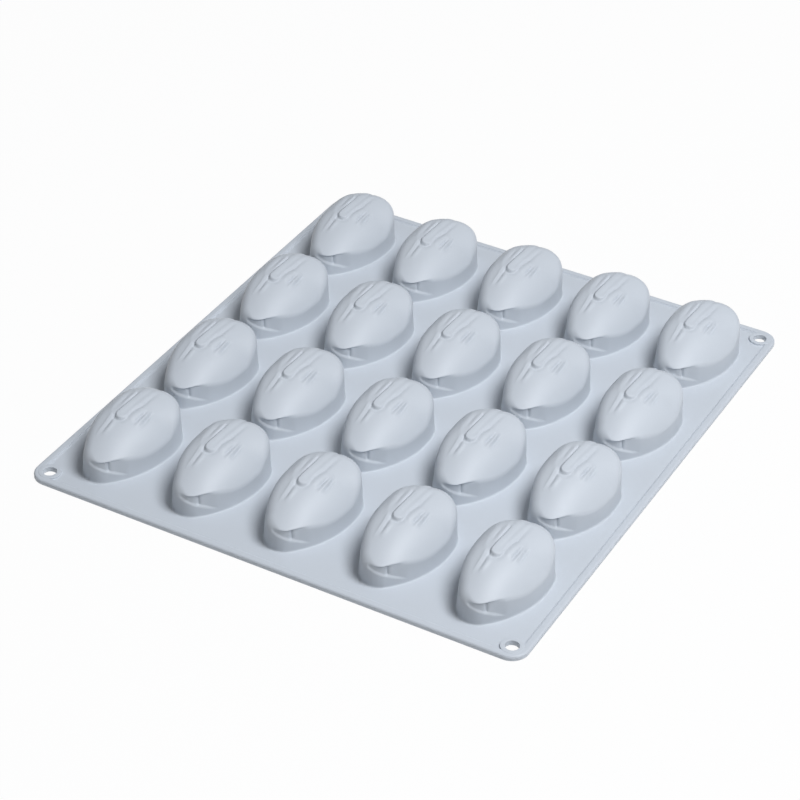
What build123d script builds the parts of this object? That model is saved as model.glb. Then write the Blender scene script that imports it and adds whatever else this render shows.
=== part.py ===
from build123d import *
import math
import os

# A silicone baking mould with almond-shaped cups, as it lies upside down with its cups up.
# Millimetres, +Z up, origin under the middle of the sheet, tips of the almonds towards -Y.

# Layout of the cups
columns = 5
rows = 4
column_pitch = 57.5
row_pitch = 80.2

# Flat sheet and its edge
side_margin = 35.0
end_margin = 48.0
sheet_thickness = 2.0
corner_radius = 10.0
rim_width = 5.0
rim_rise = 1.0
rim_round = 1.2

# Hanging holes in the corners
eyelet_inset = 9.0
eyelet_radius = 6.3
hole_radius = 3.75

# Outline of one almond: two end circles joined by two side arcs that hold both inside
cup_length = 67.0
blunt_radius = 20.0
blunt_shift = 0.2
tip_radius = 11.2
tip_shift = -3.3
bulged_side_radius = 54.0
flat_side_radius = 73.0

# Height, wall and foot of one almond
cup_height = 30.5
wall = 2.0
draft_angle = 3.0
foot_flare = 1.0
foot_slope = 45.0

# Crown of one almond: its highest place, and the radii that it falls away with
crown_x = -4.5
crown_y = 14.0
crown_left_radius = 30.0
crown_right_radius = 25.7
crown_right_tip_radius = 20.0
crown_right_blunt_radius = 50.0
crown_tip_radius = 93.0
crown_blunt_radius = 390.0
crown_tip_span = (5.0, -20.0)
crown_blunt_span = (8.0, 32.0)

# Rounding of the edge between wall and crown, by the direction in degrees that the wall faces
edge_rounding = {-80: 2.0, -45: 2.0, -25: 6.0, 45: 6.5, 90: 13.0, 180: 12.0, 225: 9.0, 280: 2.0}

# Hollow in the wall at the tip, over a ledge that slopes down to the right
hollow_depth = 0.8
hollow_left = -4.5
hollow_right = 11.0
hollow_top = 16.6
ledge_height = 13.0
ledge_slope = 25.0

# Sections of one almond: points round it, and sections over the edge and over the crown
points_round = 40
edge_sections = 7
crown_sections = 8

sheet_width = (columns - 1) * column_pitch + 2 * side_margin
sheet_depth = (rows - 1) * row_pitch + 2 * end_margin
field_width = sheet_width - 2 * rim_width
field_depth = sheet_depth - 2 * rim_width
rim_height = sheet_thickness + rim_rise
corner_block = eyelet_inset + eyelet_radius


def cup_place(row, column):
    """Middle of a cup, counted from the back left one."""
    x = (column - (columns + 1) / 2) * column_pitch
    y = ((rows + 1) / 2 - row) * row_pitch
    return Pos(x, y)


def side_centre(blunt, tip, side_radius, side):
    """Centre of a side arc that touches both end circles from outside."""
    between = tip - blunt
    to_blunt = side_radius - blunt_radius
    to_tip = side_radius - tip_radius
    along = (to_blunt**2 - to_tip**2 + between.length**2) / (2 * between.length)
    across = math.sqrt(to_blunt**2 - along**2)
    direction = between.normalized()
    return blunt + direction * along + Vector(-direction.Y, direction.X) * across * side


def polar(angle):
    """Level unit vector that faces an angle in degrees."""
    return Vector(math.cos(math.radians(angle)), math.sin(math.radians(angle)))


def outline_arcs():
    """Centre, radius, first and last facing angle of the four arcs, from the tip round to the left side."""
    blunt = Vector(blunt_shift, cup_length / 2 - blunt_radius)
    tip = Vector(tip_shift, tip_radius - cup_length / 2)
    right = side_centre(blunt, tip, bulged_side_radius, -1)
    left = side_centre(blunt, tip, flat_side_radius, 1)
    joins = [tip - left, tip - right, blunt - right, blunt - left]
    facing = [math.degrees(math.atan2(join.Y, join.X)) for join in joins]
    facing.append(facing[0] + 360)
    centres = [tip, right, blunt, left]
    radii = [tip_radius, bulged_side_radius, blunt_radius, flat_side_radius]
    return list(zip(centres, radii, facing[:-1], facing[1:]))


def outline(inset):
    """Almond-shaped face drawn in by an inset, with the same centres for all its arcs."""
    arcs = []
    for centre, radius, first, last in outline_arcs():
        points = [centre + polar(angle) * (radius - inset) for angle in (first, (first + last) / 2, last)]
        arcs.append(ThreePointArc(*points))
    return Face(Wire(arcs))


def outline_places():
    """Evenly spaced places on the outline, each with the angle that the wall faces there."""
    arcs = outline_arcs()
    lengths = [radius * math.radians(last - first) for _, radius, first, last in arcs]
    places = []
    for number in range(points_round):
        way = sum(lengths) * number / points_round
        for (centre, radius, first, _), size in zip(arcs, lengths):
            if way < size:
                angle = first + math.degrees(way / radius)
                places.append((centre + polar(angle) * radius, angle))
                break
            way -= size
    return places


def ease(value, span):
    """From 0 at the first end of a span to 1 at the last, level at both."""
    share = min(max((value - span[0]) / (span[1] - span[0]), 0), 1)
    return share * share * (3 - 2 * share)


def rounding(angle):
    """Rounding of the edge where the wall faces an angle, eased from each given angle to the next."""
    stops = list(edge_rounding)
    angle = (angle - stops[0]) % 360 + stops[0]
    for low, high in zip(stops[:-1], stops[1:]):
        if angle <= high:
            change = edge_rounding[high] - edge_rounding[low]
            return edge_rounding[low] + change * ease(angle, (low, high))
    return edge_rounding[stops[-1]]


def fall(distance, radius):
    """Drop of an arc at a distance from its top."""
    return radius - math.sqrt(max(radius**2 - distance**2, 0))


def crown(place, thickness):
    """Height of the crown: its top less the fall of an arc across it and of an arc along it."""
    across = place.X - crown_x
    along = place.Y - crown_y
    to_tip = ease(place.Y, crown_tip_span)
    to_blunt = ease(place.Y, crown_blunt_span)
    right = crown_right_radius + (crown_right_tip_radius - crown_right_radius) * to_tip
    right += (crown_right_blunt_radius - crown_right_radius) * to_blunt
    across_radius = right if across > 0 else crown_left_radius
    along_radius = crown_blunt_radius if along > 0 else crown_tip_radius
    drop = fall(across, across_radius - thickness) + fall(along, along_radius - thickness)
    return cup_height - thickness - drop


def profile(foot, angle, thickness):
    """Points from the foot up the drafted wall and over the edge to the highest place of the crown.

    The arc of the edge touches wall and crown. Halving finds the inset where it meets the crown.
    """
    radius = max(rounding(angle) - thickness, wall / 4)
    draft = math.radians(draft_angle)
    inward = -polar(angle)

    def crown_at(inset):
        return crown(foot + inward * inset, thickness)

    low = 0.0
    high = blunt_radius
    while high - low > 0.001:
        meets = (low + high) / 2
        slope = (crown_at(meets + 0.05) - crown_at(meets - 0.05)) / 0.1
        centre_inset = meets + radius * slope / math.hypot(1, slope)
        centre_height = crown_at(meets) - radius / math.hypot(1, slope)
        wall_inset = thickness + (centre_height - sheet_thickness) * math.tan(draft)
        if centre_inset < wall_inset + radius / math.cos(draft):
            low = meets
        else:
            high = meets
    turns = [draft + (math.atan2(1, slope) - draft) * step / edge_sections for step in range(edge_sections + 1)]
    points = [foot + inward * thickness + Vector(0, 0, sheet_thickness)]
    for turn in turns:
        inset = centre_inset - radius * math.cos(turn)
        points.append(foot + inward * inset + Vector(0, 0, centre_height + radius * math.sin(turn)))
    rim = points[-1]
    for step in range(1, crown_sections + 1):
        place = rim + (Vector(crown_x, crown_y) - rim) * (step / crown_sections)
        points.append(Vector(place.X, place.Y, crown(place, thickness)))
    return points


def almond(thickness):
    """Solid almond, smaller all over by a thickness: a loft through level loops up to its highest point."""
    profiles = [profile(place, angle, thickness) for place, angle in outline_places()]
    loops = [Wire([Spline(*loop, periodic=True)]) for loop in list(zip(*profiles))[:-1]]
    return Solid.make_loft([*loops, Vertex(crown_x, crown_y, cup_height - thickness)], ruled=True)


def make_hollow():
    """Layer of the wall at the tip, over the ledge, as deep as the hollow."""
    base = Pos(0, 0, sheet_thickness)
    outside = extrude(base * outline(-wall), cup_height)
    inside = extrude(base * outline(hollow_depth), cup_height, taper=draft_angle)
    ledge = Pos(tip_shift, 0, ledge_height) * Rot(0, ledge_slope, 0) * slab(cup_length, cup_length, cup_height)
    width = hollow_right - hollow_left
    patch = Pos((hollow_left + hollow_right) / 2, -cup_length / 2) * slab(width, blunt_radius, hollow_top)
    return (outside - inside) & ledge & patch


def make_cup():
    """Hollow almond shell that stands on the sheet, with a sloped foot round it."""
    foot_base = Pos(0, 0, sheet_thickness) * outline(-foot_flare)
    foot = extrude(foot_base, foot_flare, taper=foot_slope)
    return (almond(0) + foot) - almond(wall) - make_hollow()


def slab(width, depth, height):
    """Flat block that stands on the ground round the origin."""
    return Box(width, depth, height, align=(Align.CENTER, Align.CENTER, Align.MIN))


def at_corners(shape, height):
    """Four upright solids of one flat shape, at the eyelets."""
    spacing_x = sheet_width - 2 * eyelet_inset
    spacing_y = sheet_depth - 2 * eyelet_inset
    return [place * extrude(shape, height) for place in GridLocations(spacing_x, spacing_y, 2, 2)]


def make_rim():
    """Raised bead round the sheet with a round pad and a hole at each corner."""
    outer = extrude(RectangleRounded(sheet_width, sheet_depth, corner_radius), rim_height)
    outer = fillet(outer.faces().sort_by(Axis.Z)[-1].edges(), rim_round)
    bead = outer - slab(field_width, field_depth, rim_height)
    bead = bead + at_corners(Circle(eyelet_radius), rim_height)
    return bead - at_corners(Circle(hole_radius), rim_height)


def make_sheet():
    """Flat field inside the bead, cut back round the four eyelets."""
    field = slab(field_width, field_depth, sheet_thickness)
    return field - at_corners(Circle(eyelet_radius), sheet_thickness)


def cut_out(solid, x_span, y_span):
    """Part of a flat solid that lies between two places along X and two along Y."""
    width = x_span[1] - x_span[0]
    depth = y_span[1] - y_span[0]
    place = Pos(sum(x_span) / 2, sum(y_span) / 2)
    return solid & place * slab(width, depth, rim_height)


def write(part, name):
    """Store one piece under its own name."""
    part.label = name
    export_step(part, f"parts/{name}.step")


os.makedirs("parts", exist_ok=True)
rim = make_rim()
sheet = make_sheet()
cup = make_cup()
mouth = extrude(outline(wall), sheet_thickness)

# Bead: four straight bars and the four corners that join them
half_width = sheet_width / 2
half_depth = sheet_depth / 2
x_spans = {
    "left": (-half_width, corner_block - half_width),
    "": (corner_block - half_width, half_width - corner_block),
    "right": (half_width - corner_block, half_width),
}
y_spans = {
    "front": (-half_depth, corner_block - half_depth),
    "": (corner_block - half_depth, half_depth - corner_block),
    "back": (half_depth - corner_block, half_depth),
}
for end in ("front", "back"):
    write(cut_out(rim, x_spans[""], y_spans[end]), f"rim_{end}")
    for side in ("left", "right"):
        write(cut_out(rim, x_spans[side], y_spans[end]), f"eyelet_{end}_{side}")
for side in ("left", "right"):
    write(cut_out(rim, x_spans[side], y_spans[""]), f"rim_{side}")

# Cups, and the land round each mouth, which reaches halfway to its neighbours or to the bead
for row in range(1, rows + 1):
    back = half_depth if row == 1 else (rows / 2 - row + 1) * row_pitch
    front = -half_depth if row == rows else (rows / 2 - row) * row_pitch
    for column in range(1, columns + 1):
        left = -half_width if column == 1 else (column - 1 - columns / 2) * column_pitch
        right = half_width if column == columns else (column - columns / 2) * column_pitch
        place = cup_place(row, column)
        land = cut_out(sheet, (left, right), (front, back)) - place * mouth
        write(land, f"land_r{row}_c{column}")
        write(place * cup, f"cup_r{row}_c{column}")
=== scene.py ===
import math

import bpy
import numpy as np
from mathutils import Matrix, Vector


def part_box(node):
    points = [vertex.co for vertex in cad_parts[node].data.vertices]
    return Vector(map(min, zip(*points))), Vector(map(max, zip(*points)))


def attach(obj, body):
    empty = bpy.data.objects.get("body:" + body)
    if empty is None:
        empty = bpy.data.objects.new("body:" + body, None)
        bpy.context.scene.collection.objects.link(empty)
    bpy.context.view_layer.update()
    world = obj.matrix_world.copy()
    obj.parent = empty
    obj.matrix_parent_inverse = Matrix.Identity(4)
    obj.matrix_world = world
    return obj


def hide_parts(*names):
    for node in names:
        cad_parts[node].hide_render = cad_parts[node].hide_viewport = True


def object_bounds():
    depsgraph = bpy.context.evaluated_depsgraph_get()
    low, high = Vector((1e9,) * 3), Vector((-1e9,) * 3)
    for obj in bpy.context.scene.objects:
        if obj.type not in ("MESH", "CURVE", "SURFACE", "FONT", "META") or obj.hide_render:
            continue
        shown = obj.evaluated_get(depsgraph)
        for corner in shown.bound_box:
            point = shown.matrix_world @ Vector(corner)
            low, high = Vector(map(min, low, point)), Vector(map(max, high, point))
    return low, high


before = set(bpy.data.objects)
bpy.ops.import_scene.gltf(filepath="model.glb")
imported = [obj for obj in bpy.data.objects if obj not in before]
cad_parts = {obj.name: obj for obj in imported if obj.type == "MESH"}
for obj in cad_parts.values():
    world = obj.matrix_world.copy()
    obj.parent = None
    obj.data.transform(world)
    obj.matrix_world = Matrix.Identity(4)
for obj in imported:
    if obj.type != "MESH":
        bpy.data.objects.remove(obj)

bl_info = {
    "name": "Silicone Almond Mould",
    "version": (1, 0, 0),
    "blender": (4, 5, 0),
    "location": "View3D > Sidebar > Mould",
    "description": "A silicone baking mould with almond-shaped cups, lying with its cups up",
    "category": "Object",
}

# Lengths are metres and angles are degrees, unless a comment or a name says otherwise.
MM = 0.001
SILICONE = "satin_silicone"
COLUMNS = 5
ROWS = 4
CUP_GRID = [(row, column) for row in range(1, ROWS + 1) for column in range(1, COLUMNS + 1)]

# Edge between wall and crown, from the tip round: the direction that the wall faces and the rounding there
# in millimetres, and the share of the way round over which the rounding is evened out
EDGE_ROUND = (
    (-90, 6.0), (-75, 2.0), (-60, 1.5), (-45, 1.5), (-35, 3.5), (-25, 6.0), (15, 6.0), (28, 5.5),
    (45, 6.5), (90, 13.0), (135, 13.5), (180, 12.0), (195, 7.5), (225, 8.0), (255, 7.5), (270, 6.0),
)
EDGE_EVENING = 0.06

# Search for the place where the edge meets the crown
DEEPEST_INSET = 18.0 * MM
SLOPE_STEP = 0.05 * MM
HALVINGS = 40

# Crown: where its radius over the right side changes, and the middle that its rings close on
CROWN_TIP_BLEND = (-20.0 * MM, 5.0 * MM)
CROWN_BLUNT_BLEND = (8.0 * MM, 32.0 * MM)
CROWN_POLE = (-0.25 * MM, 2.0 * MM)

# Skin counts as crown where its normal stands higher than this, with a fade to both sides
CROWN_NORMAL = 0.45
CROWN_NORMAL_FADE = 0.2

# Relief on the crown, in millimetres: lines from the blunt end towards the tip
TONGUE = ((-1.0, 30.0), (-1.4, 14.0), (-2.05, 5.2), (-2.6, -2.9))
CRESCENT = ((-5.8, -4.9), (-5.0, -6.6), (-2.7, -7.4), (-0.4, -6.7), (1.6, -3.9))
CRESCENT_ENDS = (0.1, 0.99)
LOBE = ((5.3, 7.4), (4.2, 2.7), (3.2, -1.0))

# Ridges (height above 0) and grooves (below 0) on the crown, in millimetres:
# height, half width, then points from the blunt end towards the tip
MARKS = (
    (0.30, 1.4, ((-11.4, 20.0), (-11.3, 11.0), (-11.2, 4.3), (-10.2, -0.8), (-9.2, -4.2))),
    (-0.30, 0.8, ((-8.2, 20.5), (-8.6, 9.5), (-8.3, 3.4))),
    (0.15, 0.6, ((-6.4, 20.1), (-6.3, 11.5), (-6.6, 5.6))),
    (-0.45, 0.7, ((-5.3, 24.0), (-5.1, 14.4), (-5.3, 8.2), (-5.6, 2.8))),
    (0.25, 0.7, ((-8.3, -3.3), (-8.0, -7.6), (-7.7, -10.9), (-7.8, -15.2), (-7.8, -19.3))),
    (-0.35, 0.7, ((-5.7, -3.4), (-5.6, -6.5), (-5.5, -9.0), (-5.5, -13.2), (-5.7, -17.4))),
    (0.45, 1.3, ((-3.2, -8.0), (-3.6, -12.2), (-4.1, -17.4))),
    (-0.65, 1.1, ((4.0, 22.0), (3.3, 15.0), (3.0, 9.5), (2.0, 5.8), (1.2, 2.0), (1.2, -2.4))),
    (-0.75, 0.8, ((7.0, 7.0), (6.7, 2.4), (6.1, -3.0))),
    (0.65, 0.9, ((8.5, 9.2), (8.0, 1.9), (7.6, -4.0))),
    (-0.70, 0.8, ((9.7, 8.6), (10.0, 3.8), (9.9, -2.0))),
)
MARK_ENDS = (0.04, 0.96)

# Turns of the hollow corner at a cup's foot and of the rounded lip of its mouth
FOOT_TURNS = (90.0, 70.0, 50.0, 30.0, 12.0)
LIP_TURNS = (0.0, 30.0, 60.0, 90.0)

# Faces that meet at a wider angle than this show an edge
SMOOTH_ANGLE = 40.0

# Least cosine and least length that something is divided by, and the least cosine that faces a side
LEAST_COSINE = 1e-9
LEAST_NORMAL = 1e-12
LEAST_FACING = 1e-6

# Camera: which way it looks, how far off it stands, where the sheet's middle lies in the picture, and its
# lens and sensor in millimetres
CAMERA_AZIMUTH = 28.16
CAMERA_ELEVATION = 35.68
CAMERA_ROLL = 1.63
CAMERA_DISTANCE = 1.521
CAMERA_ASIDE = 10.6 * MM
CAMERA_BELOW = 3.7 * MM
CAMERA_LENS = 121.05
CAMERA_SENSOR = 36.0

# Floor: how far it reaches, how far below the sheet it lies, and the white that the camera sees on it
FLOOR_REACH = 3.0
FLOOR_DROP = 0.1 * MM
WHITE = (1, 1, 1, 1)

# Sockets of the node that mixes two colours
FIRST_COLOUR = 6
SECOND_COLOUR = 7
MIXED_COLOUR = 2


def middle(node):
    """Middle of a node's box."""
    low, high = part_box(node)
    return (low + high) / 2


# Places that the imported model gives
SHEET_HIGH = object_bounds()[1]
COLUMN_PITCH = (middle("cup_r1_c5").x - middle("cup_r1_c1").x) / (COLUMNS - 1)
ROW_PITCH = (middle("cup_r1_c1").y - middle("cup_r4_c1").y) / (ROWS - 1)
CUP_TOP = SHEET_HIGH.z
SHEET_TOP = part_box("land_r1_c1")[1].z
RIM_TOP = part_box("rim_front")[1].z


def length(name, description, default):
    """Setting for a length."""
    return bpy.props.FloatProperty(
        name=name, description=description, default=default, precision=5, unit="LENGTH"
    )


def number(name, description, default):
    """Setting for a plain number."""
    return bpy.props.FloatProperty(name=name, description=description, default=default, precision=3)


def millimetres(name, description, default):
    """Setting for a length that is kept in millimetres."""
    return number(name, f"{description}, in millimetres", default)


def count(name, description, default):
    """Setting for a number of steps."""
    return bpy.props.IntProperty(name=name, description=description, default=default, min=3)


def colour(name, description, default):
    """Setting for a colour."""
    return bpy.props.FloatVectorProperty(
        name=name, description=description, default=default, size=3, min=0.0, max=1.0, subtype="COLOR"
    )


def spot(name, description, default):
    """Setting for a place."""
    return bpy.props.FloatVectorProperty(
        name=name, description=description, default=default, size=3, subtype="TRANSLATION"
    )


class CupSettings(bpy.types.PropertyGroup):
    """Form of one almond cup."""

    long_side: length("Length", "Length of the almond at its foot", 68.5 * MM)
    blunt_radius: length("Blunt end", "Radius of the blunt end", 20.75 * MM)
    blunt_shift: length("Blunt shift", "Sideways place of the blunt end", 0.95 * MM)
    tip_radius: length("Tip", "Radius of the tip", 11.2 * MM)
    tip_shift: length("Tip shift", "Sideways place of the tip", -1.8 * MM)
    bulged_side: length("Bulged side", "Radius of the fuller side", 54.75 * MM)
    flat_side: length("Flat side", "Radius of the flatter side", 73.75 * MM)
    wall: length("Wall", "Thickness of the silicone", 2.0 * MM)
    foot: length("Foot fillet", "Radius of the hollow corner where a cup meets the sheet", 0.9 * MM)
    foot_margin: length("Foot margin", "Width of the level strip round the foot", 0.3 * MM)
    lip: length("Lip", "Rounding of the mouth on the underside", 0.8 * MM)
    crown_left: length("Crown, left", "Radius of the crown over the left side", 30.0 * MM)
    crown_right_tip: length("Crown, right tip", "Radius over the right side near the tip", 25.0 * MM)
    crown_right: length("Crown, right", "Radius over the right side in the middle", 29.5 * MM)
    crown_right_blunt: length("Crown, right blunt", "Radius over the right side at the blunt end", 50.0 * MM)
    crown_tip: length("Crown to the tip", "Radius along the almond towards the tip", 93.0 * MM)
    crown_blunt: length("Crown to the blunt end", "Radius along the almond towards the blunt end", 390.0 * MM)
    crown_x: length("Crown across", "Sideways place of the highest point", -4.5 * MM)
    crown_y: length("Crown along", "Place of the highest point along the almond", 14.0 * MM)
    crown_margin: length("Crown margin", "Room over the crown for its relief", 1.5 * MM)
    draft: number("Draft", "Lean of the wall in degrees", 3.0)
    steps_round: count("Steps round", "Points round the cup", 264)
    wall_rings: count("Wall rings", "Rings of points up the wall", 24)
    edge_rings: count("Edge rings", "Rings of points over the edge", 14)
    crown_rings: count("Crown rings", "Rings of points over the crown", 56)


class ReliefSettings(bpy.types.PropertyGroup):
    """Relief of one cup, in millimetres.

    A fade is half the distance over which a height comes or goes.
    """

    tongue_half_width: millimetres("Tongue half width", "Half width of the raised tongue", 3.05)
    tongue_fade: millimetres("Tongue fade", "Fade at the tongue's border", 0.8)
    tongue_middle: millimetres("Tongue middle", "Sideways place of the tongue's middle", -2.43)
    tongue_lean: number("Tongue lean", "Sideways step of the middle per millimetre along", 0.072)
    tongue_height: millimetres("Tongue height", "Height of the tongue", 0.68)
    tongue_tilt: number("Tongue tilt", "Height lost per millimetre to the right", 0.09)
    tongue_tilt_start: millimetres("Tilt start", "Distance left of the middle where none is lost", 2.6)
    end_rise: millimetres("End rise", "Height that the tongue's round end adds", 0.58)
    end_place: millimetres("End place", "Place along the almond where half of it is added", -0.3)
    end_fade: millimetres("End fade", "Fade of that rise", 4.0)
    far_share: number("Far share", "Share of the tongue's height left at the blunt end", 0.25)
    far_place: millimetres("Far place", "Place along the almond halfway to that share", 9.0)
    far_fade: millimetres("Far fade", "Fade to that share", 7.0)
    spoon_depth: millimetres("Spoon depth", "Depth of the hollow in the tongue", 0.22)
    spoon_place: millimetres("Spoon place", "Distance of the hollow to the right of the middle", 1.0)
    spoon_half_width: millimetres("Spoon half width", "Half width of the hollow", 1.2)
    spoon_end: millimetres("Spoon end", "Place along the almond where the hollow ends", -2.0)
    spoon_fade: millimetres("Spoon fade", "Fade at that end", 2.0)
    crescent_depth: millimetres("Crescent depth", "Depth of the crescent at its left end", 0.70)
    crescent_loss: millimetres("Crescent loss", "Depth that it loses to its right end", 0.12)
    crescent_half_width: millimetres("Crescent half width", "Half width of the crescent", 1.15)
    lobe_height: millimetres("Lobe height", "Height of the lobe beside the tongue", 0.45)
    lobe_half_width: millimetres("Lobe half width", "Half width of the lobe", 2.2)
    ledge_height: millimetres("Ledge height", "Height of the ledge at the tip", 13.0)
    ledge_fall: number("Ledge fall", "Height that the ledge loses per millimetre along", 0.4)
    ledge_fade: millimetres("Ledge fade", "Fade at the ledge", 0.45)
    hollow_depth: millimetres("Hollow depth", "Depth of the hollow over the ledge", 0.8)
    hollow_left: millimetres("Hollow left", "Left border of the hollow, from the tip", -1.5)
    hollow_left_fade: millimetres("Hollow left fade", "Fade at the left border", 1.5)
    hollow_right: millimetres("Hollow right", "Right border of the hollow, from the tip", 17.5)
    hollow_right_fade: millimetres("Hollow right fade", "Fade at the right border", 4.5)
    hollow_top: millimetres("Hollow top", "Height of the hollow's upper border", 18.2)
    hollow_top_fade: millimetres("Hollow top fade", "Fade at the upper border", 1.2)
    crease_depth: millimetres("Crease depth", "Depth of the upright crease", 0.75)
    crease_place: millimetres("Crease place", "Place of the crease, from the tip", 10.0)
    crease_half_width: millimetres("Crease half width", "Half width of the crease", 0.7)
    crease_low: millimetres("Crease low end", "Height of the crease's lower end", 9.3)
    crease_low_fade: millimetres("Crease low fade", "Fade at the lower end", 0.8)
    crease_high: millimetres("Crease high end", "Height of the crease's upper end", 18.0)
    crease_high_fade: millimetres("Crease high fade", "Fade at the upper end", 1.0)


class SheetSettings(bpy.types.PropertyGroup):
    """Form of the sheet's bead and of its hanging holes."""

    rim_width: length("Rim width", "Width of the bead round the sheet", 5.0 * MM)
    rim_round: length("Rim round", "Rounding of the bead's outer edge", 1.2 * MM)
    rim_inner_round: length("Rim inner round", "Rounding of the bead's inner edge", 0.5 * MM)
    under_round: length("Under round", "Rounding of the lower edges", 0.3 * MM)
    corner_radius: length("Corner radius", "Radius of the sheet's corners", 10.0 * MM)
    corner_steps: count("Corner steps", "Points round one corner", 14)
    eyelet_inset: length("Eyelet inset", "Distance of a hole from the two edges", 9.0 * MM)
    eyelet_radius: length("Eyelet radius", "Radius of the round pad", 6.3 * MM)
    eyelet_rise: length("Eyelet rise", "Height of the pad over the bead", 0.15 * MM)
    eyelet_round: length("Eyelet round", "Rounding of the pad's edges", 0.35 * MM)
    eyelet_margin: length("Eyelet margin", "Least width of the level strip round the pad", 0.175 * MM)
    eyelet_block: length("Eyelet block", "Reach of the flat patch round the pad", 7.5 * MM)
    eyelet_steps: count("Eyelet steps", "Points round a hole", 96)
    hole_radius: length("Hole radius", "Radius of the hanging hole", 3.75 * MM)


class SiliconeSettings(bpy.types.PropertyGroup):
    """Look of the silicone."""

    base: colour("Colour", "Colour of the silicone", (0.59, 0.629, 0.675))
    darker: number("Darker", "Brightness of the darker tone", 0.965)
    lighter: number("Lighter", "Brightness of the lighter tone", 1.03)
    cloud_scale: number("Cloud scale", "Scale of the soft clouds", 14.0)
    cloud_detail: number("Cloud detail", "Detail of the soft clouds", 2.0)
    cloud_tone: number("Cloud tone", "Share of the clouds in the tone", 0.7)
    cloud_rough: number("Cloud roughness", "Roughness that the clouds add", 0.04)
    grain_scale: number("Grain scale", "Scale of the fine grain", 1400.0)
    grain_detail: number("Grain detail", "Detail of the fine grain", 3.0)
    grain_tone: number("Grain tone", "Share of the grain in the tone", 0.3)
    grain_rough: number("Grain roughness", "Roughness that the grain adds", 0.10)
    grain_height: length("Grain height", "Height of the grain", 0.04 * MM)
    wave_scale: number("Wave scale", "Scale of the unevenness of the skin", 60.0)
    wave_detail: number("Wave detail", "Detail of the unevenness of the skin", 1.0)
    wave_height: length("Wave height", "Height of the unevenness of the skin", 0.25 * MM)
    bump: number("Bump", "Strength of the grain and the unevenness in the shading", 0.35)
    roughness: number("Roughness", "Least roughness", 0.40)
    refraction: number("Refraction", "Index of refraction", 1.42)


class StageSettings(bpy.types.PropertyGroup):
    """Floor and light."""

    floor: colour("Floor", "Colour of the floor", (0.80, 0.80, 0.80))
    floor_rough: number("Floor roughness", "Roughness of the floor", 0.9)
    floor_glow: number("Floor glow", "Share of plain white in what the camera sees of the floor", 0.95)
    light: colour("Light", "Colour of the light", (0.945, 0.965, 1.0))
    key_power: number("Key light", "Power of the main light in watts", 31.0)
    key_size: length("Key size", "Diameter of the main light", 0.9)
    key_place: spot("Key place", "Place of the main light", (0.89, -0.08, 1.68))
    world_strength: number("Surround", "Strength of the light from all round", 0.03)
    overhead: number("Overhead", "Strength that the surround gains straight above", 0.30)


def outline(cup, inset):
    """Almond seen from above, drawn in by an inset.

    Four arcs follow one another. Each point is its arc's centre plus (radius less inset) times the
    direction that the wall faces there, and the points are evenly spaced along the whole.
    Gives the points, the directions, the facing angles and the way along the outline from the tip.
    """
    blunt = np.array((cup.blunt_shift, cup.long_side / 2 - cup.blunt_radius))
    tip = np.array((cup.tip_shift, cup.tip_radius - cup.long_side / 2))
    between = tip - blunt
    span = np.hypot(*between)
    along_axis = between / span

    def side_centre(radius, side):
        to_blunt = radius - cup.blunt_radius
        to_tip = radius - cup.tip_radius
        along = (to_blunt**2 - to_tip**2 + span**2) / (2 * span)
        across = math.sqrt(to_blunt**2 - along**2)
        return blunt + along_axis * along + np.array((-along_axis[1], along_axis[0])) * across * side

    right = side_centre(cup.bulged_side, -1)
    left = side_centre(cup.flat_side, 1)
    centres = np.array((tip, right, blunt, left, tip))
    radii = np.array((cup.tip_radius, cup.bulged_side, cup.blunt_radius, cup.flat_side, cup.tip_radius))
    joins = [tip - right, blunt - right, blunt - left, tip - left]
    facing = np.unwrap([-math.pi / 2] + [math.atan2(join[1], join[0]) for join in joins])
    facing = np.append(facing, facing[0] + 2 * math.pi)
    ends = np.concatenate(((0,), np.cumsum(radii * np.diff(facing))))
    way = np.linspace(0, ends[-1], cup.steps_round, endpoint=False)
    angle = np.interp(way, ends, facing)
    arc = np.clip(np.searchsorted(ends, way, side="right") - 1, 0, len(radii) - 1)
    direction = np.stack((np.cos(angle), np.sin(angle)), axis=-1)
    points = centres[arc] + (radii[arc] - inset)[:, None] * direction
    from_tip = np.where(way > ends[-1] / 2, way - ends[-1], way)
    return points, direction, np.mod(angle, 2 * math.pi), from_tip


def ease(low, high, value):
    """From 0 at the low value to 1 at the high one, level at both ends: 3 t squared less 2 t cubed."""
    t = np.clip((value - low) / (high - low), 0, 1)
    return t * t * (3 - 2 * t)


def smooth_step(fade, value):
    """From 0 to 1 as the value goes from minus the fade to the fade."""
    return ease(-fade, fade, value)


def bell(value):
    """1 at 0, falling to 0 on both sides: exp(-value squared)."""
    return np.exp(-(value**2))


def swell(way, ends):
    """Near 1 in the middle of a line and less at its ends: the root of sin(pi times the way)."""
    return np.sin(math.pi * np.clip(way, *ends)) ** 0.5


def crown(cup, x, y):
    """Height of the crown: its top, less the fall of one arc across it and of one along it.

    The fall of an arc is its radius less the root of (radius squared less distance squared).
    """
    across = x - cup.crown_x
    along = y - cup.crown_y
    to_middle = ease(*CROWN_TIP_BLEND, y) * (cup.crown_right - cup.crown_right_tip)
    to_blunt = ease(*CROWN_BLUNT_BLEND, y) * (cup.crown_right_blunt - cup.crown_right)
    right = cup.crown_right_tip + to_middle + to_blunt
    radius_across = np.where(across > 0, right, cup.crown_left)
    radius_along = np.where(along > 0, cup.crown_blunt, cup.crown_tip)
    fall_across = radius_across - np.sqrt(np.maximum(radius_across**2 - across**2, 0))
    fall_along = radius_along - np.sqrt(radius_along**2 - along**2)
    return CUP_TOP - cup.crown_margin - fall_across - fall_along


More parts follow.
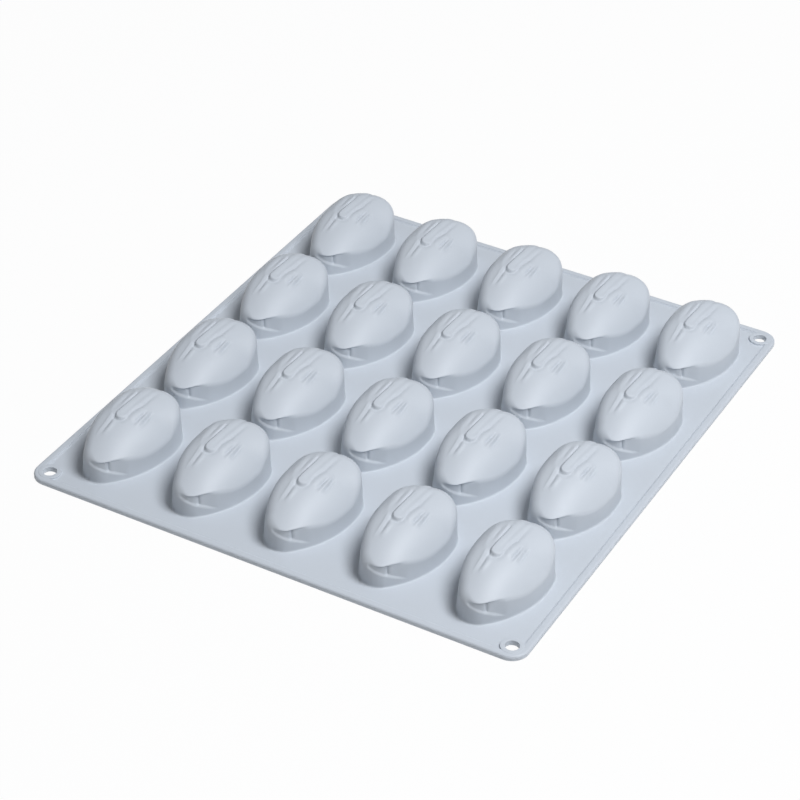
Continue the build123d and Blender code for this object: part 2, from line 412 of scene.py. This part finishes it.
def to_line(x, y, points):
    """Distance to a line through a few points, and the way along it from 0 to 1."""
    nearest = np.full(x.shape, np.inf)
    way = np.zeros(x.shape)
    points = np.asarray(points, float)
    lengths = np.hypot(*np.diff(points, axis=0).T)
    total = lengths.sum()
    for start, end, begun in zip(points[:-1], points[1:], np.cumsum(lengths) - lengths):
        piece = end - start
        size = np.hypot(*piece)
        t = np.clip(((x - start[0]) * piece[0] + (y - start[1]) * piece[1]) / size**2, 0, 1)
        distance = np.hypot(x - start[0] - t * piece[0], y - start[1] - t * piece[1])
        closer = distance < nearest
        nearest = np.where(closer, distance, nearest)
        way = np.where(closer, (begun + t * size) / total, way)
    return nearest, way


def crown_marks(relief, x, y):
    """Height of the relief on the crown, in millimetres, from a place in millimetres.

    The tongue is raised where the distance to its middle line is under its half width, most at its round
    end, and is a little hollow. A crescent is sunk round its end, and a soft lobe stands beside it.
    Each ridge or groove adds its height times exp(-(distance / half width) squared), less at its two ends.
    """
    distance, _ = to_line(x, y, TONGUE)
    on_tongue = smooth_step(relief.tongue_fade, relief.tongue_half_width - distance)
    across = x - relief.tongue_middle - relief.tongue_lean * y
    end = relief.end_rise * smooth_step(relief.end_fade, relief.end_place - y)
    tilt = relief.tongue_tilt * (across + relief.tongue_tilt_start)
    near = smooth_step(relief.far_fade, relief.far_place - y)
    share = relief.far_share + (1 - relief.far_share) * near
    spoon = relief.spoon_depth * bell((across - relief.spoon_place) / relief.spoon_half_width)
    spoon *= smooth_step(relief.spoon_fade, y - relief.spoon_end)
    height = on_tongue * ((relief.tongue_height + end - tilt) * share - spoon)

    distance, way = to_line(x, y, CRESCENT)
    depth = (relief.crescent_depth - relief.crescent_loss * way) * swell(way, CRESCENT_ENDS)
    height -= depth * bell(distance / relief.crescent_half_width) * (1 - on_tongue)
    distance, _ = to_line(x, y, LOBE)
    height += relief.lobe_height * bell(distance / relief.lobe_half_width) * (1 - on_tongue)
    for rise, half_width, points in MARKS:
        distance, way = to_line(x, y, points)
        height += rise * swell(way, MARK_ENDS) * bell(distance / half_width)
    return height


def wall_marks(relief, way, z):
    """Relief on the wall beside the tip, in millimetres, from the way along the outline and the height.

    A hollow over a sloping ledge, fading out to the right, with an upright crease in it.
    """
    hollow = smooth_step(relief.ledge_fade, z - relief.ledge_height + relief.ledge_fall * way)
    hollow *= smooth_step(relief.hollow_left_fade, way - relief.hollow_left)
    hollow *= smooth_step(relief.hollow_right_fade, relief.hollow_right - way)
    hollow *= smooth_step(relief.hollow_top_fade, relief.hollow_top - z)
    crease = smooth_step(relief.crease_low_fade, z - relief.crease_low)
    crease *= smooth_step(relief.crease_high_fade, relief.crease_high - z)
    crease *= bell((way - relief.crease_place) / relief.crease_half_width)
    return -relief.hollow_depth * hollow - relief.crease_depth * crease


def even_out(values, share):
    """Values round the cup, each replaced by the weighted mean of its neighbours over a share of the way."""
    weights = np.hanning(int(len(values) * share))
    weights /= weights.sum()
    reach = len(weights)
    wrapped = np.concatenate((values[-reach:], values, values[:reach]))
    return np.convolve(wrapped, weights, mode="same")[reach:-reach]


def cup_rings(cup):
    """Outer skin of one cup, from the sheet up the wall and round the edge to the middle of the crown.

    The wall leans in by the draft. The edge is an arc that touches wall and crown, found by halving
    the range of the inset where it meets the crown, until its centre stands one radius off the wall.
    """
    points, direction, facing, way = outline(cup, 0.0)
    stations, rounding = np.array(EDGE_ROUND).T
    stations = np.radians(stations)
    facing = np.mod(facing - stations[0], 2 * math.pi) + stations[0]
    radius = even_out(np.interp(facing, stations, rounding * MM), EDGE_EVENING)
    draft = math.radians(cup.draft)

    def plan(inset):
        return points - direction * inset[:, None]

    def height(inset):
        place = plan(inset)
        return crown(cup, place[:, 0], place[:, 1])

    low = np.zeros(len(points))
    high = np.full(len(points), DEEPEST_INSET)
    for _ in range(HALVINGS):
        meets = (low + high) / 2
        slope = (height(meets + SLOPE_STEP) - height(meets - SLOPE_STEP)) / (2 * SLOPE_STEP)
        size = np.sqrt(1 + slope**2)
        centre_inset = meets + radius * slope / size
        centre_height = height(meets) - radius / size
        wall_inset = radius / math.cos(draft) + (centre_height - SHEET_TOP) * math.tan(draft)
        too_near = centre_inset < wall_inset
        low = np.where(too_near, meets, low)
        high = np.where(too_near, high, meets)
    turn_end = np.arctan2(1, slope)
    wall_top = centre_height + radius * math.sin(draft)

    rings = []
    for share in np.linspace(0, 1, cup.wall_rings):
        z = SHEET_TOP + (wall_top - SHEET_TOP) * share
        rings.append(np.column_stack((plan((z - SHEET_TOP) * math.tan(draft)), z)))
    for share in np.linspace(0, 1, cup.edge_rings)[1:]:
        turn = draft + (turn_end - draft) * share
        z = centre_height + radius * np.sin(turn)
        rings.append(np.column_stack((plan(centre_inset - radius * np.cos(turn)), z)))
    rim = rings[-1][:, :2]
    for share in np.linspace(0, 1, cup.crown_rings)[1:]:
        place = rim + (np.array(CROWN_POLE) - rim) * share
        rings.append(np.column_stack((place, crown(cup, place[:, 0], place[:, 1]))))
    return np.array(rings), way


def skin_normals(skin):
    """Outward normals of a skin of rings, whose last ring is one point on the top."""
    along = np.roll(skin, -1, axis=1) - np.roll(skin, 1, axis=1)
    upward = np.gradient(skin, axis=0)
    normal = np.cross(along, upward)
    normal /= np.maximum(np.linalg.norm(normal, axis=-1, keepdims=True), LEAST_NORMAL)
    normal[-1] = (0, 0, 1)
    return normal


def with_relief(relief, skin, way):
    """Skin moved along its normals by the relief of the crown and of the wall."""
    normal = skin_normals(skin)
    place = skin / MM
    on_crown = smooth_step(CROWN_NORMAL_FADE, normal[..., 2] - CROWN_NORMAL)
    height = crown_marks(relief, place[..., 0], place[..., 1]) * on_crown
    height += wall_marks(relief, way / MM, place[..., 2]) * (1 - on_crown)
    return skin + normal * (height * MM)[..., None]


def ring(points, height):
    """Points seen from above, at one height."""
    return np.column_stack((points, np.full(len(points), height)))


def polar(angle, distance):
    """Points at a distance in each direction."""
    return np.stack((np.cos(angle), np.sin(angle)), axis=-1) * np.reshape(distance, (-1, 1))


def arc_section(centre, radius, first, last, steps):
    """Points of a section on an arc, as pairs of inset and height."""
    turn = np.radians(np.linspace(first, last, steps))
    return np.stack((centre[0] + radius * np.cos(turn), centre[1] + radius * np.sin(turn)), axis=-1)


def strip_faces(ids):
    """Quads between neighbouring rings of point numbers, each ring closed on itself."""
    after = np.roll(ids, -1, axis=1)
    return np.stack((ids[:-1], after[:-1], after[1:], ids[1:]), axis=-1).reshape(-1, 4)


def closed_skin(rings):
    """Points and faces of rings that follow one another round a closed section."""
    rings = np.array(rings)
    ids = np.arange(rings.shape[0] * rings.shape[1]).reshape(rings.shape[:2])
    return rings, strip_faces(np.concatenate((ids, ids[:1])))


def corner_rings(points, direction, radius, turns, base):
    """Rings of a rounded corner.

    At each turn the ring is moved out by radius times (1 less cosine) and up by radius times (1 less sine).
    """
    rings = []
    for turn in np.radians(turns):
        out = radius * (1 - math.cos(turn))
        rise = radius * (1 - math.sin(turn))
        rings.append(ring(points + direction * out, base + rise))
    return rings


def cup_shell(cup, relief):
    """Points and faces of one cup: outside, inside one wall behind it, and rounded mouth underneath."""
    skin, way = cup_rings(cup)
    outer = with_relief(relief, skin, way)
    inner = outer - skin_normals(skin) * cup.wall

    # Hollow corner round the foot, ending level with the sheet, in place of the two lowest rings
    low, direction, _, _ = outline(cup, 0.0)
    foot = [ring(low + direction * (cup.foot + cup.foot_margin), SHEET_TOP)]
    foot += corner_rings(outer[0, :, :2], direction, cup.foot, FOOT_TURNS, SHEET_TOP)
    outer = np.concatenate((foot, outer[2:]))

    # Inside from the top down, with every second ring, then the lip
    mouth, direction, _, _ = outline(cup, cup.wall)
    lip = corner_rings(mouth, direction, cup.lip, LIP_TURNS, 0.0)
    inner = np.concatenate((inner[:0:-2], lip))

    steps = cup.steps_round
    outer_ids = np.arange(len(outer) * steps).reshape(-1, steps)
    inner_ids = outer_ids.size + np.arange(len(inner) * steps).reshape(-1, steps)
    outer_ids[-1] = outer_ids[-1, 0]
    inner_ids[0] = inner_ids[0, 0]
    closing = np.stack((inner_ids[-1], outer_ids[0]))
    quads = np.concatenate([strip_faces(ids) for ids in (outer_ids, inner_ids, closing)])
    used, numbers = np.unique(quads, return_inverse=True)
    points = np.concatenate((outer, inner)).reshape(-1, 3)[used]
    return points, numbers.reshape(quads.shape)


def cup_place(row, column):
    """Middle of a cup on the sheet."""
    x = (column - (COLUMNS + 1) / 2) * COLUMN_PITCH
    y = ((ROWS + 1) / 2 - row) * ROW_PITCH
    return np.array((x, y, 0.0))


def rectangle_corners(left, right, front, back):
    """Corners of a rectangle round a place, from the distances of its sides."""
    return [(x, y) for x in (-left, right) for y in (-front, back)]


def border_distance(angle, left, right, front, back):
    """Distance from a place to a rectangle round it: on each side, the side's distance over the cosine."""
    across = np.cos(angle)
    along = np.sin(angle)
    to_side = np.where(across > 0, right, left) / np.maximum(np.abs(across), LEAST_COSINE)
    to_end = np.where(along > 0, back, front) / np.maximum(np.abs(along), LEAST_COSINE)
    return np.minimum(to_side, to_end)


def towards_corners(angle, corners):
    """Directions, of which the one nearest to each corner is turned to face it."""
    towards = angle.copy()
    for x, y in corners:
        corner = math.atan2(y, x)
        gap = np.mod(angle - corner + math.pi, 2 * math.pi) - math.pi
        towards[np.argmin(np.abs(gap))] = corner
    return towards


def land_border(sheet, row, column, angle):
    """Border of one land, seen from its cup's middle: a rectangle, in a corner less the eyelet's patch."""
    place = cup_place(row, column)
    half_width = SHEET_HIGH.x - sheet.rim_width
    half_depth = SHEET_HIGH.y - sheet.rim_width
    left = half_width + place[0] if column == 1 else COLUMN_PITCH / 2
    right = half_width - place[0] if column == COLUMNS else COLUMN_PITCH / 2
    front = half_depth + place[1] if row == ROWS else ROW_PITCH / 2
    back = half_depth - place[1] if row == 1 else ROW_PITCH / 2
    corners = rectangle_corners(left, right, front, back)
    if column not in (1, COLUMNS) or row not in (1, ROWS):
        towards = towards_corners(angle, corners)
        return polar(towards, border_distance(towards, left, right, front, back))

    x_side, side_x = (-1, -left) if column == 1 else (1, right)
    y_side, side_y = (-1, -front) if row == ROWS else (1, back)
    patch = sheet.eyelet_inset + sheet.eyelet_block
    patch_x = x_side * (SHEET_HIGH.x - patch) - place[0]
    patch_y = y_side * (SHEET_HIGH.y - patch) - place[1]
    corners += [(patch_x, patch_y), (patch_x, side_y), (side_x, patch_y)]
    towards = towards_corners(angle, corners)
    distance = border_distance(towards, left, right, front, back)
    across = np.cos(towards)
    along = np.sin(towards)
    facing = (across * x_side > LEAST_FACING) & (along * y_side > LEAST_FACING)
    with np.errstate(divide="ignore", invalid="ignore"):
        to_patch = np.maximum(patch_x / across, patch_y / along)
    return polar(towards, np.where(facing, np.minimum(distance, to_patch), distance))


class Value:
    """A number in a shader, so that maths on it reads as maths."""

    def __init__(self, shader, socket):
        self.shader = shader
        self.socket = socket

    def __add__(self, other):
        return self.shader.maths("ADD", self, other)

    def __radd__(self, other):
        return self.shader.maths("ADD", other, self)

    def __mul__(self, other):
        return self.shader.maths("MULTIPLY", self, other)

    def __rmul__(self, other):
        return self.shader.maths("MULTIPLY", other, self)


class Shader:
    """Node tree of one material or of the world."""

    def __init__(self, owner):
        owner.use_nodes = True
        self.links = owner.node_tree.links
        self.nodes = owner.node_tree.nodes
        self.nodes.clear()

    def node(self, kind, settings=None, inputs=None):
        """Any node: its type, its settings, and a value or a link for each named socket."""
        node = self.nodes.new(kind)
        for name, setting in (settings or {}).items():
            setattr(node, name, setting)
        for name, given in (inputs or {}).items():
            given = given.socket if isinstance(given, Value) else given
            if isinstance(given, bpy.types.NodeSocket):
                self.links.new(given, node.inputs[name])
            else:
                node.inputs[name].default_value = given
        return node

    def maths(self, operation, first, second):
        """Result of a sum on two values."""
        node = self.node("ShaderNodeMath", {"operation": operation}, {0: first, 1: second})
        return Value(self, node.outputs[0])

    def seen_by(self, first_ray, second_ray):
        """1 for the two kinds of ray, and 0 for all others."""
        path = self.node("ShaderNodeLightPath")
        return self.maths("MAXIMUM", path.outputs[first_ray], path.outputs[second_ray])

    def mix(self, share, first, second):
        """Mix of two shaders."""
        inputs = {0: share, 1: first.outputs[0], 2: second.outputs[0]}
        return self.node("ShaderNodeMixShader", {}, inputs)


def silicone_material():
    """Satin silicone: soft clouds of tone, a fine dusty grain, and a faint unevenness of the skin."""
    look = bpy.context.scene.mould_silicone
    material = bpy.data.materials.new(SILICONE)
    shader = Shader(material)
    place = shader.node("ShaderNodeTexCoord").outputs["Object"]

    def noise(scale, detail):
        found = shader.node("ShaderNodeTexNoise", {}, {"Vector": place, "Scale": scale, "Detail": detail})
        return Value(shader, found.outputs["Fac"])

    clouds = noise(look.cloud_scale, look.cloud_detail)
    grain = noise(look.grain_scale, look.grain_detail)
    waves = noise(look.wave_scale, look.wave_detail)
    tone = clouds * look.cloud_tone + grain * look.grain_tone
    darker = [part * look.darker for part in look.base]
    lighter = [min(1.0, part * look.lighter) for part in look.base]
    mixed = shader.node(
        "ShaderNodeMix",
        {"data_type": "RGBA"},
        {"Factor": tone, FIRST_COLOUR: (*darker, 1), SECOND_COLOUR: (*lighter, 1)},
    )
    height = grain * look.grain_height + waves * look.wave_height
    bump = shader.node("ShaderNodeBump", {}, {"Height": height, "Strength": look.bump, "Distance": 1.0})
    surface = shader.node(
        "ShaderNodeBsdfPrincipled",
        {},
        {
            "Base Color": mixed.outputs[MIXED_COLOUR],
            "Roughness": look.roughness + grain * look.grain_rough + clouds * look.cloud_rough,
            "Normal": bump.outputs["Normal"],
            "IOR": look.refraction,
        },
    )
    shader.node("ShaderNodeOutputMaterial", {}, {"Surface": surface.outputs[0]})
    return material


def silicone():
    """The one silicone material, made when it is first needed."""
    return bpy.data.materials.get(SILICONE) or silicone_material()


def make_piece(name, points, quads, smooth_angle=None):
    """Mesh object from points and quads. Quads that meet a pole become triangles."""
    at_end = quads[:, 2] == quads[:, 3]
    at_start = quads[:, 0] == quads[:, 1]
    whole = quads[~at_end & ~at_start]
    faces = whole.tolist() + quads[at_end][:, :3].tolist() + quads[at_start][:, 1:].tolist()
    mesh = bpy.data.meshes.new(name)
    mesh.from_pydata(points.reshape(-1, 3).tolist(), [], faces)
    mesh.materials.append(silicone())
    mesh.polygons.foreach_set("use_smooth", np.full(len(mesh.polygons), smooth_angle is not None))
    if smooth_angle is not None:
        mesh.set_sharp_from_angle(angle=math.radians(smooth_angle))
    mesh.update()
    piece = bpy.data.objects.new(name, mesh)
    bpy.context.scene.collection.objects.link(piece)
    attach(piece, "root")
    return piece


class MOULD_OT_cups(bpy.types.Operator):
    """Add the almond cups, hollow and open at the underside"""

    bl_idname = "mould.cups"
    bl_label = "Cups"

    def execute(self, context):
        points, quads = cup_shell(context.scene.mould_cup, context.scene.mould_relief)
        for row, column in CUP_GRID:
            name = f"almond_cup_r{row}_c{column}"
            piece = make_piece(name, points + cup_place(row, column), quads, SMOOTH_ANGLE)
            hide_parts(f"cup_r{row}_c{column}")
        return {"FINISHED"}


class MOULD_OT_lands(bpy.types.Operator):
    """Add the flat lands of the sheet, one round each cup"""

    bl_idname = "mould.lands"
    bl_label = "Lands"

    def execute(self, context):
        cup = context.scene.mould_cup
        sheet = context.scene.mould_sheet
        foot, _, _, _ = outline(cup, -cup.foot - cup.foot_margin)
        mouth, _, _, _ = outline(cup, cup.wall - cup.lip)
        angle = np.arctan2(foot[:, 1], foot[:, 0])
        for row, column in CUP_GRID:
            border = land_border(sheet, row, column, angle)
            rings = [ring(mouth, 0), ring(border, 0), ring(border, SHEET_TOP), ring(foot, SHEET_TOP)]
            points, quads = closed_skin(rings)
            piece = make_piece(f"sheet_r{row}_c{column}", points + cup_place(row, column), quads)
            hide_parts(f"land_r{row}_c{column}")
        return {"FINISHED"}


class MOULD_OT_rim(bpy.types.Operator):
    """Add the raised bead round the sheet"""

    bl_idname = "mould.rim"
    bl_label = "Rim"

    def execute(self, context):
        sheet = context.scene.mould_sheet
        outer = sheet.rim_round
        inner = sheet.rim_inner_round
        under = sheet.under_round
        width = sheet.rim_width
        hollow = RIM_TOP - SHEET_TOP - inner
        section = np.concatenate((
            arc_section((under, under), under, 270, 180, steps=4),
            arc_section((outer, RIM_TOP - outer), outer, 180, 90, steps=8),
            arc_section((width - hollow - 2 * inner, RIM_TOP - inner), inner, 90, 0, steps=6),
            arc_section((width, SHEET_TOP + hollow), hollow, 180, 270, steps=6)[1:],
            [(width, 0)],
        ))
        corner = sheet.corner_radius
        turns = np.radians(np.linspace(0, 90, sheet.corner_steps))
        facing = np.concatenate([turns + math.radians(start) for start in (-90, 0, 90, 180)])
        x = np.repeat((1, 1, -1, -1), sheet.corner_steps) * (SHEET_HIGH.x - corner)
        y = np.repeat((-1, 1, 1, -1), sheet.corner_steps) * (SHEET_HIGH.y - corner)
        centres = np.stack((x, y), axis=-1)
        rings = [ring(centres + polar(facing, corner - inset), height) for inset, height in section]
        piece = make_piece("rim_bead", *closed_skin(rings), SMOOTH_ANGLE)
        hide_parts("rim_front", "rim_back", "rim_left", "rim_right")
        return {"FINISHED"}


class MOULD_OT_eyelets(bpy.types.Operator):
    """Add the round pads with the hanging holes, one in each corner"""

    bl_idname = "mould.eyelets"
    bl_label = "Eyelets"

    def execute(self, context):
        sheet = context.scene.mould_sheet
        hole = sheet.hole_radius
        pad = sheet.eyelet_radius
        top = RIM_TOP + sheet.eyelet_rise
        edge = sheet.eyelet_round
        under = sheet.under_round / 2
        section = np.concatenate((
            arc_section((hole + under, under), under, 270, 180, steps=3),
            arc_section((hole + edge, top - edge), edge, 180, 90, steps=5),
            arc_section((pad - edge, top - edge), edge, 90, 0, steps=5),
            arc_section((pad + edge, SHEET_TOP + edge), edge, 180, 270, steps=5),
        ))
        angle = np.radians(np.arange(0, 360, 360 / sheet.eyelet_steps))
        near = sheet.eyelet_inset - sheet.rim_width
        far = sheet.eyelet_block
        for end, y_side, front, back in (("front", -1, near, far), ("back", 1, far, near)):
            for side, x_side, left, right in (("left", -1, near, far), ("right", 1, far, near)):
                sides = (left, right, front, back)
                towards = towards_corners(angle, rectangle_corners(*sides))
                square = border_distance(towards, *sides)
                patch = np.maximum(square, pad + edge + sheet.eyelet_margin)
                underside = np.maximum(square, hole + 2 * under)
                rings = [ring(polar(towards, distance), height) for distance, height in section]
                rings.append(ring(polar(towards, patch), SHEET_TOP))
                rings.append(ring(polar(towards, underside), 0))
                points, quads = closed_skin(rings)
                x = x_side * (SHEET_HIGH.x - sheet.eyelet_inset)
                y = y_side * (SHEET_HIGH.y - sheet.eyelet_inset)
                name = f"hanging_eyelet_{end}_{side}"
                piece = make_piece(name, points + (x, y, 0), quads[:, ::-1], SMOOTH_ANGLE)
                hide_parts(f"eyelet_{end}_{side}")
        return {"FINISHED"}


def add_camera():
    """Camera at the photograph's angle."""
    azimuth = math.radians(CAMERA_AZIMUTH)
    elevation = math.radians(CAMERA_ELEVATION)
    level = math.cos(elevation)
    ahead = Vector((-math.sin(azimuth) * level, math.cos(azimuth) * level, -math.sin(elevation)))
    level_right = ahead.cross(Vector((0, 0, 1))).normalized()
    level_up = level_right.cross(ahead)
    roll = math.radians(CAMERA_ROLL)
    right = level_right * math.cos(roll) + level_up * math.sin(roll)
    up = level_up * math.cos(roll) - level_right * math.sin(roll)
    camera = bpy.data.objects.new("camera", bpy.data.cameras.new("camera"))
    camera.data.lens = CAMERA_LENS
    camera.data.sensor_width = CAMERA_SENSOR
    place = up * CAMERA_BELOW - right * CAMERA_ASIDE - ahead * CAMERA_DISTANCE
    turned = Matrix((right, up, -ahead)).transposed().to_4x4()
    camera.matrix_world = Matrix.Translation(place) @ turned
    bpy.context.scene.collection.objects.link(camera)
    bpy.context.scene.camera = camera


def add_floor(look):
    """Wide pale floor just under the mould, white to the camera, with the mould's shadow on it."""
    material = bpy.data.materials.new("floor")
    shader = Shader(material)
    share = shader.seen_by("Is Camera Ray", "Is Glossy Ray") * look.floor_glow
    inputs = {"Base Color": (*look.floor, 1), "Roughness": look.floor_rough}
    paint = shader.node("ShaderNodeBsdfPrincipled", {}, inputs)
    glow = shader.node("ShaderNodeEmission", {}, {"Color": WHITE, "Strength": 1.0})
    mixed = shader.mix(share, paint, glow)
    shader.node("ShaderNodeOutputMaterial", {}, {"Surface": mixed.outputs[0]})
    mesh = bpy.data.meshes.new("floor")
    sides = ((-1, -1), (1, -1), (1, 1), (-1, 1))
    corners = [(x * FLOOR_REACH, y * FLOOR_REACH, -FLOOR_DROP) for x, y in sides]
    mesh.from_pydata(corners, [], [(0, 1, 2, 3)])
    mesh.materials.append(material)
    floor = bpy.data.objects.new("floor", mesh)
    bpy.context.scene.collection.objects.link(floor)


def add_world(look):
    """Soft light from overhead that fades towards the horizon, and white where the camera sees it.

    Its strength is the one from all round, plus the overhead one times the height of the direction that
    it comes from.
    """
    world = bpy.data.worlds.new("surround")
    bpy.context.scene.world = world
    shader = Shader(world)
    seen = shader.seen_by("Is Camera Ray", "Is Transmission Ray")
    direction = shader.node("ShaderNodeTexCoord").outputs["Generated"]
    split = shader.node("ShaderNodeSeparateXYZ", {}, {0: direction})
    strength = shader.maths("MAXIMUM", split.outputs["Z"], 0.0) * look.overhead + look.world_strength
    soft = shader.node("ShaderNodeBackground", {}, {"Color": (*look.light, 1), "Strength": strength})
    white = shader.node("ShaderNodeBackground", {}, {"Color": WHITE, "Strength": 1.0})
    mixed = shader.mix(seen, soft, white)
    shader.node("ShaderNodeOutputWorld", {}, {"Surface": mixed.outputs[0]})


def add_key_light(look):
    """One large soft light from the right, high up, aimed at the mould."""
    data = bpy.data.lights.new("key", "AREA")
    data.shape = "DISK"
    data.size = look.key_size
    data.energy = look.key_power
    data.color = look.light
    key = bpy.data.objects.new("key", data)
    key.location = look.key_place
    key.rotation_euler = (-key.location).to_track_quat("-Z", "Y").to_euler()
    bpy.context.scene.collection.objects.link(key)


class MOULD_OT_stage(bpy.types.Operator):
    """Add the floor, the light, the surround and the camera"""

    bl_idname = "mould.stage"
    bl_label = "Stage"

    def execute(self, context):
        look = context.scene.mould_stage
        add_camera()
        add_floor(look)
        add_world(look)
        add_key_light(look)
        context.scene.view_settings.view_transform = "Standard"
        return {"FINISHED"}


class MOULD_PT_panel(bpy.types.Panel):
    """Pieces and settings of the mould."""

    bl_idname = "MOULD_PT_panel"
    bl_label = "Almond mould"
    bl_space_type = "VIEW_3D"
    bl_region_type = "UI"
    bl_category = "Mould"

    def draw(self, context):
        for operator in OPERATORS:
            self.layout.operator(operator.bl_idname)
        for group in [getattr(context.scene, name) for name in SETTINGS]:
            box = self.layout.box()
            for name in group.__annotations__:
                box.prop(group, name)


SETTINGS = {
    "mould_cup": CupSettings,
    "mould_relief": ReliefSettings,
    "mould_sheet": SheetSettings,
    "mould_silicone": SiliconeSettings,
    "mould_stage": StageSettings,
}
OPERATORS = (MOULD_OT_cups, MOULD_OT_lands, MOULD_OT_rim, MOULD_OT_eyelets, MOULD_OT_stage)
CLASSES = (*SETTINGS.values(), *OPERATORS, MOULD_PT_panel)


def register():
    for item in CLASSES:
        bpy.utils.register_class(item)
    for name, group in SETTINGS.items():
        setattr(bpy.types.Scene, name, bpy.props.PointerProperty(type=group))


def unregister():
    for name in SETTINGS:
        delattr(bpy.types.Scene, name)
    for item in reversed(CLASSES):
        bpy.utils.unregister_class(item)


def main():
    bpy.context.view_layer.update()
    register()
    for operator in OPERATORS:
        group, name = operator.bl_idname.split(".")
        getattr(getattr(bpy.ops, group), name)()


if __name__ == "__main__":
    main()
